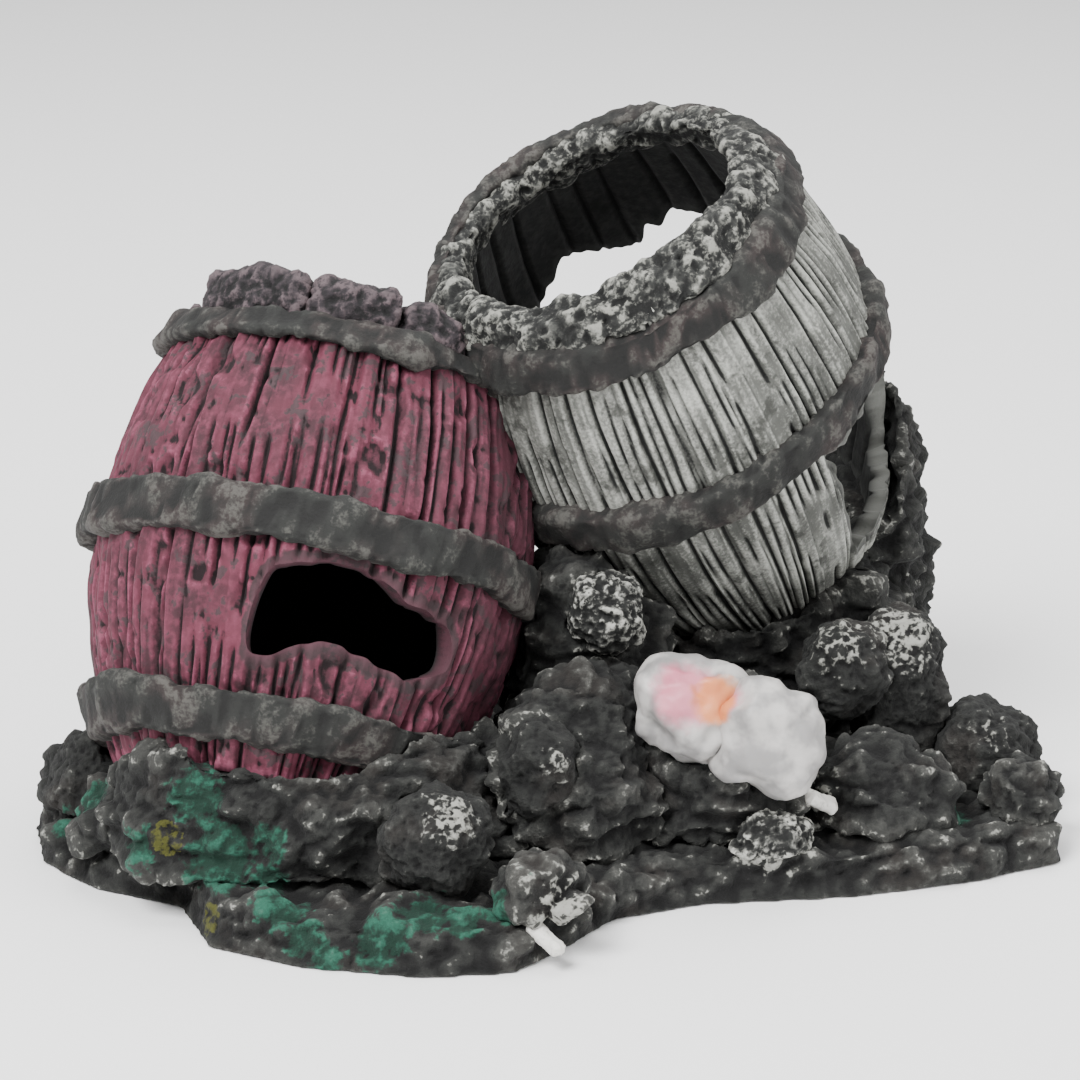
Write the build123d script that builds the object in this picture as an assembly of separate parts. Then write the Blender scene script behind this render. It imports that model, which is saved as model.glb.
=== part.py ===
"""Aquarium cave ornament: two broken barrels set on a rocky base, cast in resin and glued up.

Frame: +Z up, the underside of the base at Z = 0, +X to the right, -Y to the front.
Every size is in millimetres.  Each barrel is modelled upright about its own axis, with its
belly at height 0, and is then placed in its leaning position.  Angles round a barrel start
at its right-hand side and go through the back (90) to the left (180); the front is -90.
"""

import math
import os
import random

from build123d import *

# ---------------------------------------------------------------- driving dimensions
GLUE_GAP = 0.15            # film of adhesive between neighbouring castings

# barrel casting, the same pattern for both barrels
BELLY_RADIUS = 30.8        # outside radius at the belly
STAVE_BOW = 5.6            # how much narrower the barrel is at its end hoops
END_RADIUS = BELLY_RADIUS - STAVE_BOW
HOOP_PITCH = 27.3          # belly hoop to end hoop, along the axis
WALL = 3.2                 # thickness of the stave shell
FOOT_BEYOND_HOOP = 6.7     # end hoop to the foot of the shell, along the axis
FOOT_LENGTH = HOOP_PITCH + FOOT_BEYOND_HOOP    # belly to the foot
SET_OUT_FOOT = 34.0        # belly to foot for which the rocks under the foot are set out
FOOT_LIFT = SET_OUT_FOOT - FOOT_LENGTH         # how much higher those rocks have to reach

# hoops
HOOP_THICKNESS = 1.5
RED_TOP_HOOP_WIDTH = 3.6
RED_HOOP_WIDTH = 6.4
GREY_HOOP_WIDTH = 6.0

# red barrel
RED_CENTRE = (-32.3, -9.8, 38.4)
RED_LEAN_RIGHT = 11.7      # degrees
RED_LEAN_FORWARD = -28.4   # degrees; negative leans back
RED_TOP_BEYOND_HOOP = 1.9  # pitch line of the top hoop to the top of the shell
RED_TOP = HOOP_PITCH + RED_TOP_BEYOND_HOOP     # belly to the top of the shell
RED_HEAD_THICKNESS = 3.0
RED_HEAD_DEPTH = 3.5       # top of the shell down to the head
RED_STUB_HEIGHT = 5.2      # broken stave ends above the shell
RED_STUBS = ((-130, 38), (-92, 26), (-55, 38), (58, 20), (104, 28), (160, 24))   # middle, width in degrees
RED_DOOR_ANGLE = -72.0     # where the cave mouth faces
RED_DOOR_TOP = -4.4        # height of its upper edge, from the belly
RED_DOOR_WIDTH = 29.0
RED_DOOR_HEIGHT = 15.0
RED_DOOR_OUTLINE = (       # across and up, as shares of the width and the height
    (-0.50, -0.17), (-0.25, -0.03), (-0.10, 0.0), (0.10, -0.19), (0.42, -0.29), (0.48, -0.74),
    (0.24, -0.86), (0.08, -0.86), (-0.09, -0.73), (-0.22, -0.78), (-0.35, -0.90), (-0.50, -1.0),
)

# grey barrel
GREY_CENTRE = (19.0, 10.0, 60.6)
GREY_LEAN_RIGHT = -23.0
GREY_LEAN_FORWARD = 23.1
GREY_HIGH_BEYOND_HOOP = 6.7    # neck hoop to the top of the crust, on its high side
GREY_LOW_BEYOND_HOOP = 0.2     # and on its low side
GREY_RIM_HIGH = HOOP_PITCH + GREY_HIGH_BEYOND_HOOP
GREY_RIM_LOW = HOOP_PITCH + GREY_LOW_BEYOND_HOOP
GREY_RIM_LOW_SIDE = 110.0  # angle of the low side
GREY_CRUST_HEIGHT = 4.6
GREY_CRUST_PROUD = 0.5     # how far the crust stands outside the shell
GREY_SIDE_ANGLES = (-54.0, 4.0)
GREY_SIDE_HEIGHTS = (-28.0, -5.0)
GREY_BACK_ANGLES = (56.0, 146.0)
GREY_BACK_HEIGHTS = (-24.0, 6.0)

# arrangement: every place and rock below is set out for one belly radius, and spreads with it
SET_OUT_RADIUS = 30.8
SPREAD = BELLY_RADIUS / SET_OUT_RADIUS

# base
SLAB_THICKNESS = 6.0
SLAB_BEVEL = 3.0           # sloping edge of the base, horizontally
SLAB_OUTLINE = (
    (-73.0, -16.0), (-70.0, -29.0), (-62.0, -38.0), (-49.0, -44.5), (-44.0, -57.0),
    (-31.0, -63.5), (-15.0, -66.5), (-3.0, -65.0), (4.0, -57.0), (10.0, -48.5),
    (22.0, -43.5), (43.0, -41.0), (61.0, -35.5), (73.5, -29.0), (74.0, -16.0),
    (69.0, -2.0), (64.0, 13.0), (61.0, 27.0), (49.0, 37.0), (28.0, 42.0), (6.0, 37.0),
    (-14.0, 29.0), (-36.0, 27.0), (-55.0, 20.0), (-68.0, 2.0),
)

# boulders: name, centre, half sizes, turn about Z, number of facets, seed
MASSES = (
    ("centre_outcrop", (29.0, 19.0, 14.0), (29.0, 23.0, 27.0), 0, 22, 3),
    ("gap_rock", (6.0, -3.0, 23.0), (11.5, 16.0, 22.0), 0, 20, 83),
    ("back_outcrop", (42.5, 24.0, 30.0), (15.5, 13.0, 33.0), -20, 20, 5),
    ("red_cradle", (-30.0, -33.0, 9.0), (30.0, 18.0, 17.0), 8, 20, 11),
    ("middle_ledge", (6.0, -24.0, 11.0), (13.0, 19.0, 16.0), 0, 18, 17),
)
BOULDERS = (
    ("left_boulder", (-62.5, -18.5, 6.5 + FOOT_LIFT / 2), (8.0, 9.0, 9.0 + FOOT_LIFT / 2), 10, 18, 21),
    ("front_boulder", (-14.0, -51.0, 12.8), (7.0, 6.5, 7.0), 0, 18, 23),
    ("knob_boulder", (0.2, -39.0, 18.6), (5.0, 5.2, 6.0), 0, 16, 27),
    ("crusted_rock", (9.2, -17.0, 33.0), (5.0, 5.4, 5.6), 0, 16, 29),
    ("tall_rock", (51.5, -7.0, 18.5), (6.8, 7.0, 11.5), 0, 18, 31),
    ("saddle_rock", (43.4, -12.5, 23.0), (5.6, 5.4, 7.0), 0, 16, 37),
    ("right_boulder", (64.3, -10.0, 8.0), (7.4, 7.8, 8.4), 0, 18, 41),
    ("pebble_seat", (23.5, -24.0, 11.0), (14.0, 13.5, 13.0), 0, 20, 43),
    ("pocked_rock", (31.8, -37.0, 5.4), (5.6, 4.6, 5.6), 0, 16, 47),
    ("right_ridge", (46.0, -25.0, 8.0), (12.0, 8.5, 7.5), -8, 18, 53),
    ("right_toe_rock", (68.0, -22.0, 7.0), (5.2, 5.6, 5.6), 0, 16, 59),
    ("front_toe_rock", (0.5, -56.5, 6.6), (6.2, 5.2, 5.2), 15, 16, 61),
    ("left_mound", (-55.0, -31.0, 7.2 + FOOT_LIFT / 2), (9.0, 8.0, 6.4 + FOOT_LIFT / 2), 20, 16, 67),
    ("back_left_boulder", (-44.0, 17.5, 9.0), (12.5, 8.5, 10.5), 0, 18, 71),
)

# natural stones set in the resin
PEBBLES = (
    ("quartz_pebble_left", (20.6, -33.5, 24.6), (7.4, 6.0, 7.4), 0, 40, 101),
    ("quartz_pebble_right", (30.6, -35.5, 21.6), (7.6, 6.2, 7.2), 0, 40, 103),
)
CHIP_THICKNESS = 1.8
CHIP_BEVEL = 0.5
CHIP_PITCH = 35.0          # degrees the chips lean over
CHIPS = (
    ("white_chip_front", (0.8, -62.4, 3.8), (6.0, 2.4), -38),
    ("white_chip_right", (38.6, -33.6, 11.2), (5.4, 2.6), 22),
)

MAX_ANGLE_STEP = 30.0


def spread(place):
    """A place of the arrangement, moved out or in with the size of the barrels."""
    return tuple(SPREAD * value for value in place)


# ---------------------------------------------------------------- barrels
def bulge_radius(offset=0.0):
    """Radius of the arc that the stave's outside follows, less an offset."""
    sagitta = BELLY_RADIUS - END_RADIUS
    return (HOOP_PITCH**2 + sagitta**2) / (2 * sagitta) - offset


def radius_at(height, offset=0.0):
    """Distance from the axis to the stave surface at a height, less an offset."""
    arc = bulge_radius(offset)
    return BELLY_RADIUS - offset - arc + math.sqrt(arc**2 - height**2)


def barrel_plug(low, high, offset=0.0):
    """Solid of revolution inside the bulged surface, between two heights."""
    middle = (low + high) / 2
    with BuildPart() as plug:
        with BuildSketch(Plane.XZ):
            with BuildLine():
                ThreePointArc(
                    (radius_at(low, offset), low),
                    (radius_at(middle, offset), middle),
                    (radius_at(high, offset), high),
                )
                Polyline(
                    (radius_at(high, offset), high), (0, high), (0, low), (radius_at(low, offset), low)
                )
            make_face()
        revolve(axis=Axis.Z)
    return plug.part


def barrel_band(low, high, inside, outside):
    """Ring between two offsets of the bulged surface; a negative offset stands proud."""
    reach = 1.0
    return barrel_plug(low, high, outside) - barrel_plug(low - reach, high + reach, inside)


def barrel_place(centre, lean_right, lean_forward):
    """Plane whose Z runs up the leaning barrel's axis and whose X points to its right."""
    right, forward = math.radians(lean_right), math.radians(lean_forward)
    up = Vector(
        math.sin(right) * math.cos(forward), -math.sin(forward), math.cos(right) * math.cos(forward)
    )
    side = Vector(0, 1, 0).cross(up).normalized()
    return Plane(origin=spread(centre), x_dir=side, z_dir=up)


def sector(low, high, first, last, reach=2 * BELLY_RADIUS):
    """Wedge of space round the axis between two angles and two heights."""
    steps = max(2, math.ceil((last - first) / MAX_ANGLE_STEP))
    rim = [
        (
            reach * math.cos(math.radians(first + (last - first) * i / steps)),
            reach * math.sin(math.radians(first + (last - first) * i / steps)),
        )
        for i in range(steps + 1)
    ]
    outline = Plane.XY.offset(low) * make_face(Polyline((0, 0), *rim, (0, 0)))
    return extrude(outline, high - low, dir=(0, 0, 1))


def broken_window(first, last, low, high, teeth, depth):
    """Wedge with stepped upper and lower edges, as if whole staves had snapped off."""
    width = (last - first) / teeth
    window = None
    for i in range(teeth):
        jog = depth * (i % 2)
        slot = sector(low + jog, high - depth + jog, first + i * width, first + (i + 1) * width)
        window = slot if window is None else window + slot
    return window


def red_door():
    """Prism through the front wall of the red barrel: a ragged arch on a sloping sill."""
    points = [
        (across * RED_DOOR_WIDTH, RED_DOOR_TOP + up * RED_DOOR_HEIGHT) for across, up in RED_DOOR_OUTLINE
    ]
    along = math.radians(RED_DOOR_ANGLE)
    out = Vector(math.cos(along), math.sin(along), 0)
    face = Plane(origin=(0, 0, 0), x_dir=Vector(-out.Y, out.X, 0), z_dir=out)
    return extrude(face * make_face(Polyline(*points, points[0])), 2 * BELLY_RADIUS)


def red_barrel():
    """Local solids of the red barrel, with the filled envelope that the rocks are cut by."""
    door = red_door()
    half = RED_HOOP_WIDTH / 2
    hoop_inside, hoop_outside = -GLUE_GAP, -GLUE_GAP - HOOP_THICKNESS
    shell = barrel_band(-FOOT_LENGTH, RED_TOP, WALL, 0) - door
    top_hoop = barrel_band(RED_TOP - RED_TOP_HOOP_WIDTH, RED_TOP, hoop_inside, hoop_outside)
    belly_hoop = barrel_band(-half, half, hoop_inside, hoop_outside)
    foot_hoop = barrel_band(-HOOP_PITCH - half, -HOOP_PITCH + half, hoop_inside, hoop_outside)
    head_top = RED_TOP - RED_HEAD_DEPTH
    head = barrel_plug(head_top - RED_HEAD_THICKNESS, head_top, WALL + GLUE_GAP)
    stubs = Part() + [red_stub(angle, width, i) for i, (angle, width) in enumerate(RED_STUBS)]
    envelope = barrel_plug(-FOOT_LENGTH, RED_TOP, hoop_outside - GLUE_GAP)
    solids = {
        "red_barrel_shell": shell,
        "red_top_hoop": top_hoop,
        "red_belly_hoop": belly_hoop,
        "red_foot_hoop": foot_hoop,
        "red_barrel_head": head,
        "red_stave_stubs": stubs,
    }
    return solids, envelope


def red_stub(angle, width, number):
    """One group of broken stave ends on the top edge of the red shell."""
    low = RED_TOP + GLUE_GAP
    height = RED_STUB_HEIGHT * (1.0 - 0.15 * (number % 3))
    ring = Pos(0, 0, low) * (
        Cylinder(radius_at(RED_TOP) - 0.2, height, align=(Align.CENTER, Align.CENTER, Align.MIN))
        - Cylinder(radius_at(RED_TOP, WALL) + 0.2, height, align=(Align.CENTER, Align.CENTER, Align.MIN))
    )
    return ring & sector(low, low + height, angle - width / 2, angle + width / 2)


def grey_barrel():
    """Local solids of the grey barrel, with the filled envelope that the rocks are cut by."""
    half = GREY_HOOP_WIDTH / 2
    hoop_inside, hoop_outside = -GLUE_GAP, -GLUE_GAP - HOOP_THICKNESS
    side = broken_window(*GREY_SIDE_ANGLES, *GREY_SIDE_HEIGHTS, teeth=4, depth=3.0)
    back = broken_window(*GREY_BACK_ANGLES, *GREY_BACK_HEIGHTS, teeth=7, depth=3.2)
    crust_foot = rim_plane(GREY_CRUST_HEIGHT)
    under_crust = rim_plane(GREY_CRUST_HEIGHT + GLUE_GAP)
    shell = barrel_band(-FOOT_LENGTH, GREY_RIM_HIGH, WALL, 0).split(under_crust, keep=Keep.BOTTOM)
    neck_hoop = barrel_band(HOOP_PITCH - half, HOOP_PITCH + half, hoop_inside, hoop_outside)
    belly_hoop = barrel_band(-half, half, hoop_inside, hoop_outside)
    crust = barrel_band(0, GREY_RIM_HIGH, WALL + GREY_CRUST_PROUD, -GREY_CRUST_PROUD)
    crust = crust.split(crust_foot, keep=Keep.TOP).split(rim_plane(0), keep=Keep.BOTTOM)
    solids = {
        "grey_barrel_shell": shell - side - back,
        "grey_neck_hoop": neck_hoop.split(under_crust, keep=Keep.BOTTOM),
        "grey_belly_hoop": belly_hoop - sector(-HOOP_PITCH, HOOP_PITCH, *GREY_BACK_ANGLES),
        "grey_rim_crust": crust,
    }
    return solids, barrel_plug(-FOOT_LENGTH, GREY_RIM_HIGH, hoop_outside - GLUE_GAP)


def rim_plane(drop):
    """Slanting plane of the grey barrel's mouth, lowered by a drop."""
    middle = (GREY_RIM_HIGH + GREY_RIM_LOW) / 2 - drop
    slope = (GREY_RIM_HIGH - GREY_RIM_LOW) / (2 * END_RADIUS)
    low_side = math.radians(GREY_RIM_LOW_SIDE)
    normal = Vector(slope * math.cos(low_side), slope * math.sin(low_side), 1)
    return Plane(origin=(0, 0, middle), z_dir=normal)


# ---------------------------------------------------------------- stones
def boulder(centre, half_sizes, turn, facets, seed, grow=0.0):
    """Chiselled stone: a block cut back by planes that touch an ellipsoid."""
    draw = random.Random(seed)
    hx, hy, hz = (half + grow for half in spread(half_sizes))
    stone = Box(2 * hx, 2 * hy, 2 * hz)
    golden = math.pi * (3 - math.sqrt(5))
    for i in range(facets):
        rise = 1 - 2 * (i + 0.5) / facets
        swing = golden * i + draw.uniform(-0.25, 0.25)
        level = math.sqrt(1 - rise**2)
        normal = Vector(level * math.cos(swing), level * math.sin(swing), rise)
        reach = math.sqrt((hx * normal.X) ** 2 + (hy * normal.Y) ** 2 + (hz * normal.Z) ** 2)
        reach *= draw.uniform(0.92, 1.0)
        stone = stone.split(Plane(origin=normal * reach, z_dir=normal), keep=Keep.BOTTOM)
    return Pos(*spread(centre)) * Rot(0, 0, turn) * stone


def slab():
    """Base casting: a ragged outline with a sloping edge, flat underneath."""
    outline = [spread(corner) for corner in SLAB_OUTLINE]
    shrink = 1 - SLAB_BEVEL / max(x for x, _ in outline)
    top_outline = [(x * shrink, y * shrink) for x, y in outline]
    lower = make_face(Polyline(*outline, outline[0]))
    upper = Pos(0, 0, SLAB_THICKNESS) * make_face(Polyline(*top_outline, top_outline[0]))
    return loft([lower, upper], ruled=True)


def chip(centre, size, tilt, grow=0.0):
    """Thin sliver of white stone lying on the rocks."""
    length, width = size
    block = Box(length + 2 * grow, width + 2 * grow, CHIP_THICKNESS + 2 * grow)
    sliver = chamfer(block.edges(), CHIP_BEVEL)
    return Pos(*spread(centre)) * Rot(0, CHIP_PITCH, tilt) * sliver


def boxes_touch(one, other):
    """Whether the upright boxes round two shapes meet."""
    a, b = one.bounding_box(), other.bounding_box()
    apart = (
        a.min.X > b.max.X or b.min.X > a.max.X,
        a.min.Y > b.max.Y or b.min.Y > a.max.Y,
        a.min.Z > b.max.Z or b.min.Z > a.max.Z,
    )
    return not any(apart)


def biggest(shape):
    """The largest solid left after a stone has been cut by its neighbours."""
    return max(shape.solids(), key=lambda s: s.volume)


def build():
    """All the nodes, in the ornament's frame, each cut back from what was placed before it."""
    nodes = {}
    red_at = barrel_place(RED_CENTRE, RED_LEAN_RIGHT, RED_LEAN_FORWARD)
    grey_at = barrel_place(GREY_CENTRE, GREY_LEAN_RIGHT, GREY_LEAN_FORWARD)
    red_parts, red_envelope = red_barrel()
    grey_parts, grey_envelope = grey_barrel()
    red_space, grey_space = red_at * red_envelope, grey_at * grey_envelope
    nodes["base_slab"] = slab()
    above_base = Pos(0, 0, SLAB_THICKNESS + GLUE_GAP) * Box(
        400, 400, 400, align=(Align.CENTER, Align.CENTER, Align.MIN)
    )
    for name, solid in red_parts.items():
        nodes[name] = (red_at * solid & above_base) - grey_space
    for name, solid in grey_parts.items():
        nodes[name] = grey_at * solid
    glued = [
        *((name, chip(*shape), chip(*shape, GLUE_GAP)) for name, *shape in CHIPS),
        *((name, boulder(*shape), boulder(*shape, GLUE_GAP)) for name, *shape in PEBBLES),
        *((name, boulder(*shape), boulder(*shape, GLUE_GAP)) for name, *shape in BOULDERS),
        *((name, boulder(*shape), boulder(*shape, GLUE_GAP)) for name, *shape in MASSES),
    ]
    already = []
    for name, stone, grown in glued:
        kept = stone - nodes["base_slab"] if name.startswith("white_chip") else stone & above_base
        kept = kept - red_space - grey_space
        for other in already:
            if boxes_touch(kept, other):
                kept = biggest(kept - other)
        nodes[name] = biggest(kept)
        already.append(grown)
    return nodes


def main():
    os.makedirs("parts", exist_ok=True)
    for name, shape in build().items():
        export_step(shape, f"parts/{name}.step")


main()
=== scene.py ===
"""Looks of the barrel cave ornament: painted resin barrels, crusted hoops, craggy rocks, pebbles.

Everything is in metres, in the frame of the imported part.  MM turns the pattern's sizes,
which are written in millimetres, into metres.
"""

import math

import bpy
import numpy as np
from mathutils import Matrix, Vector


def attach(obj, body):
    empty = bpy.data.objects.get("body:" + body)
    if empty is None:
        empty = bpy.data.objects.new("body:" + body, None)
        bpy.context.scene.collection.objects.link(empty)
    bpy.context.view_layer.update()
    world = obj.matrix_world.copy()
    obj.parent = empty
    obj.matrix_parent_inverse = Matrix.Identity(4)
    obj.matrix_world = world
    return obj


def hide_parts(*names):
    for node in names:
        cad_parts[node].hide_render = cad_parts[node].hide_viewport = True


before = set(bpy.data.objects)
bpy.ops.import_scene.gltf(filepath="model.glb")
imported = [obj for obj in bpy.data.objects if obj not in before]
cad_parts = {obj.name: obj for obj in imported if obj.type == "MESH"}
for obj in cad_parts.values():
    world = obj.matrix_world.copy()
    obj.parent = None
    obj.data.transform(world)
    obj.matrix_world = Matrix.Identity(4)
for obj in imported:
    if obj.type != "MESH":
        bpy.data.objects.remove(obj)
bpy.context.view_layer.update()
MM = 0.001

# ---------------------------------------------------------------- the pattern's own sizes
BELLY_RADIUS = 30.8
END_RADIUS = 25.2
HOOP_PITCH = 27.3
WALL = 3.2
FOOT = 34.0
RED_CENTRE, RED_LEAN_RIGHT, RED_LEAN_FORWARD = (-32.3, -9.8, 38.4), 11.7, -28.4
GREY_CENTRE, GREY_LEAN_RIGHT, GREY_LEAN_FORWARD = (19.0, 10.0, 60.6), -23.0, 23.1
RED_TOP = 29.2
GREY_RIM_HIGH, GREY_RIM_LOW, GREY_RIM_LOW_SIDE = 34.0, 27.5, 110.0
GREY_CRUST_HEIGHT = 4.6
BURIED = 3.0  # height inside the base below which nothing else reaches
BULGE_REACH = 36.0  # heights beyond this take the outline's radius at this height

EYE_HEIGHT_ANGLE = 18.0  # degrees above the floor
EYE_DISTANCE = 480.0
LOOK_AT = (0.0, 0.0, 38.2)
LENS = 110.3  # focal length on a 36 mm sensor


# ---------------------------------------------------------------- noise on points
def lattice(ijk, seed):
    """Pseudo-random value from 0 to 1 for each whole-number cell."""
    i, j, k = (ijk[..., a].astype(np.uint32) for a in range(3))
    h = i * np.uint32(374761393) + j * np.uint32(668265263) + k * np.uint32(2147483647)
    h = h + np.uint32((seed * 974711 + 12345) % 4294967291)
    h = (h ^ (h >> np.uint32(13))) * np.uint32(1274126177)
    h = (h ^ (h >> np.uint32(16))) * np.uint32(2246822519)
    return ((h ^ (h >> np.uint32(15))) & np.uint32(0xFFFFFF)).astype(np.float64) / 0xFFFFFF


def swell(points, size, seed=0, octaves=1):
    """Smooth noise from -1 to 1, with features about as big as size."""
    total, weight, gain = 0.0, 0.0, 1.0
    for octave in range(octaves):
        p = np.asarray(points) / size * (2.0**octave) + 37.3
        base = np.floor(p)
        f = p - base
        f = f * f * (3 - 2 * f)
        cell = base.astype(np.int64)
        value = 0.0
        for dx in (0, 1):
            for dy in (0, 1):
                for dz in (0, 1):
                    share = (
                        (f[..., 0] if dx else 1 - f[..., 0])
                        * (f[..., 1] if dy else 1 - f[..., 1])
                        * (f[..., 2] if dz else 1 - f[..., 2])
                    )
                    value = value + share * lattice(cell + np.array((dx, dy, dz)), seed + octave)
        total = total + gain * (2 * value - 1)
        weight += gain
        gain *= 0.55
    return total / weight


def cells(points, size, seed=0):
    """Distance, in cells, to the nearest scattered seed point."""
    p = np.asarray(points) / size + 91.7
    base = np.floor(p).astype(np.int64)
    near = np.full(p.shape[:-1], 9.0)
    for dx in (-1, 0, 1):
        for dy in (-1, 0, 1):
            for dz in (-1, 0, 1):
                cell = base + np.array((dx, dy, dz))
                spot = cell + np.stack([lattice(cell, seed + 11 * a + 3) for a in range(3)], axis=-1)
                gap = np.sqrt(((p - spot) ** 2).sum(-1))
                near = np.minimum(near, gap)
    return near


def smooth_step(low, high, value):
    t = np.clip((value - low) / (high - low), 0, 1)
    return t * t * (3 - 2 * t)


# ---------------------------------------------------------------- meshes by hand
def deselect():
    if bpy.context.object and bpy.context.object.mode != "OBJECT":
        bpy.ops.object.mode_set(mode="OBJECT")
    bpy.ops.object.select_all(action="DESELECT")


def take(piece):
    """Makes a piece the only selected and active one."""
    deselect()
    piece.select_set(True)
    bpy.context.view_layer.objects.active = piece


def edit_all(piece):
    take(piece)
    bpy.ops.object.mode_set(mode="EDIT")
    bpy.ops.mesh.select_all(action="SELECT")


def end_edit():
    bpy.ops.object.mode_set(mode="OBJECT")


def points_of(piece):
    """A piece's points in millimetres."""
    flat = np.empty(len(piece.data.vertices) * 3)
    piece.data.vertices.foreach_get("co", flat)
    return flat.reshape(-1, 3) / MM


def set_points(piece, points):
    piece.data.vertices.foreach_set("co", (points * MM).ravel())
    piece.data.update()


def keep_above_base(piece):
    """Lifts the points that would come out underneath the base."""
    points = points_of(piece)
    points[:, 2] = np.maximum(points[:, 2], BURIED)
    set_points(piece, points)


def normals_of(piece):
    flat = np.empty(len(piece.data.vertices) * 3)
    piece.data.vertices.foreach_get("normal", flat)
    return flat.reshape(-1, 3)


def edges_of(piece):
    flat = np.empty(len(piece.data.edges) * 2, dtype=np.int64)
    piece.data.edges.foreach_get("vertices", flat)
    return flat.reshape(-1, 2)


def averaged(values, edges, rounds):
    """Values averaged with their neighbours' a number of times."""
    count = np.bincount(edges.ravel(), minlength=len(values)).astype(float)
    count = np.maximum(count, 1)[:, None]
    out = values.reshape(len(values), -1).copy()
    for _ in range(rounds):
        total = np.zeros_like(out)
        for a in range(out.shape[1]):
            total[:, a] += np.bincount(edges[:, 0], out[edges[:, 1], a], len(out))
            total[:, a] += np.bincount(edges[:, 1], out[edges[:, 0], a], len(out))
        out = 0.5 * out + 0.5 * total / count
    return out.reshape(values.shape)


def mark(piece, name, values):
    """Stores one number for each point, for a material to read."""
    layer = piece.data.attributes.new(name, "FLOAT", "POINT")
    layer.data.foreach_set("value", np.asarray(values, dtype=np.float32))


def read_mark(piece, name):
    values = np.empty(len(piece.data.vertices))
    piece.data.attributes[name].data.foreach_get("value", values)
    return values


def mark_relief(piece, scale=0.35, rounds=10, name="relief"):
    """Stores how far each point stands above (1) or below (-1) its surroundings."""
    points = points_of(piece)
    base = averaged(points, edges_of(piece), rounds)
    height = ((points - base) * normals_of(piece)).sum(1)
    mark(piece, name, np.clip(height / scale, -1, 1))


def shade(piece, angle=50):
    take(piece)
    bpy.ops.object.shade_smooth_by_angle(angle=math.radians(angle))


def apply(piece, kind, **settings):
    take(piece)
    modifier = piece.modifiers.new(kind.lower(), kind)
    for key, value in settings.items():
        setattr(modifier, key, value)
    bpy.ops.object.modifier_apply(modifier=modifier.name)


def copy_of(node, name):
    """A merged, editable copy of a node of the frame."""
    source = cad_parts[node]
    piece = bpy.data.objects.new(name, source.data.copy())
    bpy.context.collection.objects.link(piece)
    piece.data.materials.clear()
    for layer in list(piece.data.attributes):
        if layer.name.startswith("custom_normal") or layer.name == "sharp_face":
            piece.data.attributes.remove(layer)
    edit_all(piece)
    bpy.ops.mesh.remove_doubles(threshold=2e-6)
    bpy.ops.mesh.normals_make_consistent(inside=False)
    end_edit()
    return piece


def set_out(piece, node, material):
    """Hands a finished piece to the frame in place of a node."""
    piece.data.materials.clear()
    piece.data.materials.append(material)
    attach(piece, "root")
    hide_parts(node)


# ---------------------------------------------------------------- barrels
class Barrel:
    """Where a barrel stands, and its bulged outline."""

    def __init__(self, centre, lean_right, lean_forward):
        right, forward = math.radians(lean_right), math.radians(lean_forward)
        self.up = np.array(
            (math.sin(right) * math.cos(forward), -math.sin(forward), math.cos(right) * math.cos(forward))
        )
        side = np.cross((0, 1, 0), self.up)
        self.side = side / np.linalg.norm(side)
        self.back = np.cross(self.up, self.side)
        self.centre = np.array(centre)

    def radius(self, height):
        sagitta = BELLY_RADIUS - END_RADIUS
        arc = (HOOP_PITCH**2 + sagitta**2) / (2 * sagitta)
        level = np.clip(height, -BULGE_REACH, BULGE_REACH)
        return BELLY_RADIUS - arc + np.sqrt(arc**2 - level**2)

    def place(self, angle, height, radius):
        """Points of the ornament from an angle in radians, a height and a radius."""
        out = np.cos(angle)[:, None] * self.side + np.sin(angle)[:, None] * self.back
        return self.centre + np.asarray(height)[:, None] * self.up + np.asarray(radius)[:, None] * out


red = Barrel(RED_CENTRE, RED_LEAN_RIGHT, RED_LEAN_FORWARD)
grey = Barrel(GREY_CENTRE, GREY_LEAN_RIGHT, GREY_LEAN_FORWARD)


DRUM_RADIUS = 30.0


def around(angle, height):
    """Points on an upright drum, for noise that has to follow the wood."""
    return np.stack([DRUM_RADIUS * np.cos(angle), DRUM_RADIUS * np.sin(angle), height], axis=-1)


def stave_step(stave, cycle, seed, amount):
    """A chance value for each stave, between -amount and amount."""
    return amount * (2 * lattice(np.stack([stave % cycle] * 3, axis=-1).astype(np.int64), seed) - 1)


STAVE_ARC = 29.0  # radius at which the joints are spaced out
JOINT_JITTER = 0.28  # how far a joint strays, as a share of a stave


def staves(angle, height, count, seed, depth, width, wander, breaks):
    """Cut of the joints between staves, down to -depth, and the number of the nearest joint."""
    turn = angle / (2 * math.pi) * count
    turn = turn + wander * swell(around(angle, height * 0.35), 9.0, seed, 2)
    nearest = np.round(turn)
    jitter = stave_step(nearest, count, seed, JOINT_JITTER)
    away = np.abs(turn - nearest - jitter) * (2 * math.pi * STAVE_ARC / count)
    cut = np.exp(-((away / width) ** 2))
    broken = swell(around(angle, height * 0.5), 5.0, seed + 5, 2)
    return -depth * cut * smooth_step(breaks - 0.25, breaks + 0.2, broken), nearest


def grain(angle, height, seed, across, along):
    """Streaks that run up the staves, from -1 to 1."""
    return swell(around(angle, height * across / along), across, seed, 3)


def edge_mode(piece, kind, chosen):
    """Opens a piece for editing with only the chosen edges or faces selected."""
    take(piece)
    bpy.ops.object.mode_set(mode="EDIT")
    bpy.ops.mesh.select_mode(type=kind)
    bpy.ops.mesh.select_all(action="DESELECT")
    end_edit()
    parts = piece.data.edges if kind == "EDGE" else piece.data.polygons
    parts.foreach_set("select", chosen)
    bpy.ops.object.mode_set(mode="EDIT")


def face_middles(mesh, values):
    """Mean over each four-cornered face of some values on the points."""
    corners = np.empty(len(mesh.loops), dtype=np.int64)
    mesh.loops.foreach_get("vertex_index", corners)
    return values[corners.reshape(-1, 4)].mean(1)


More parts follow.
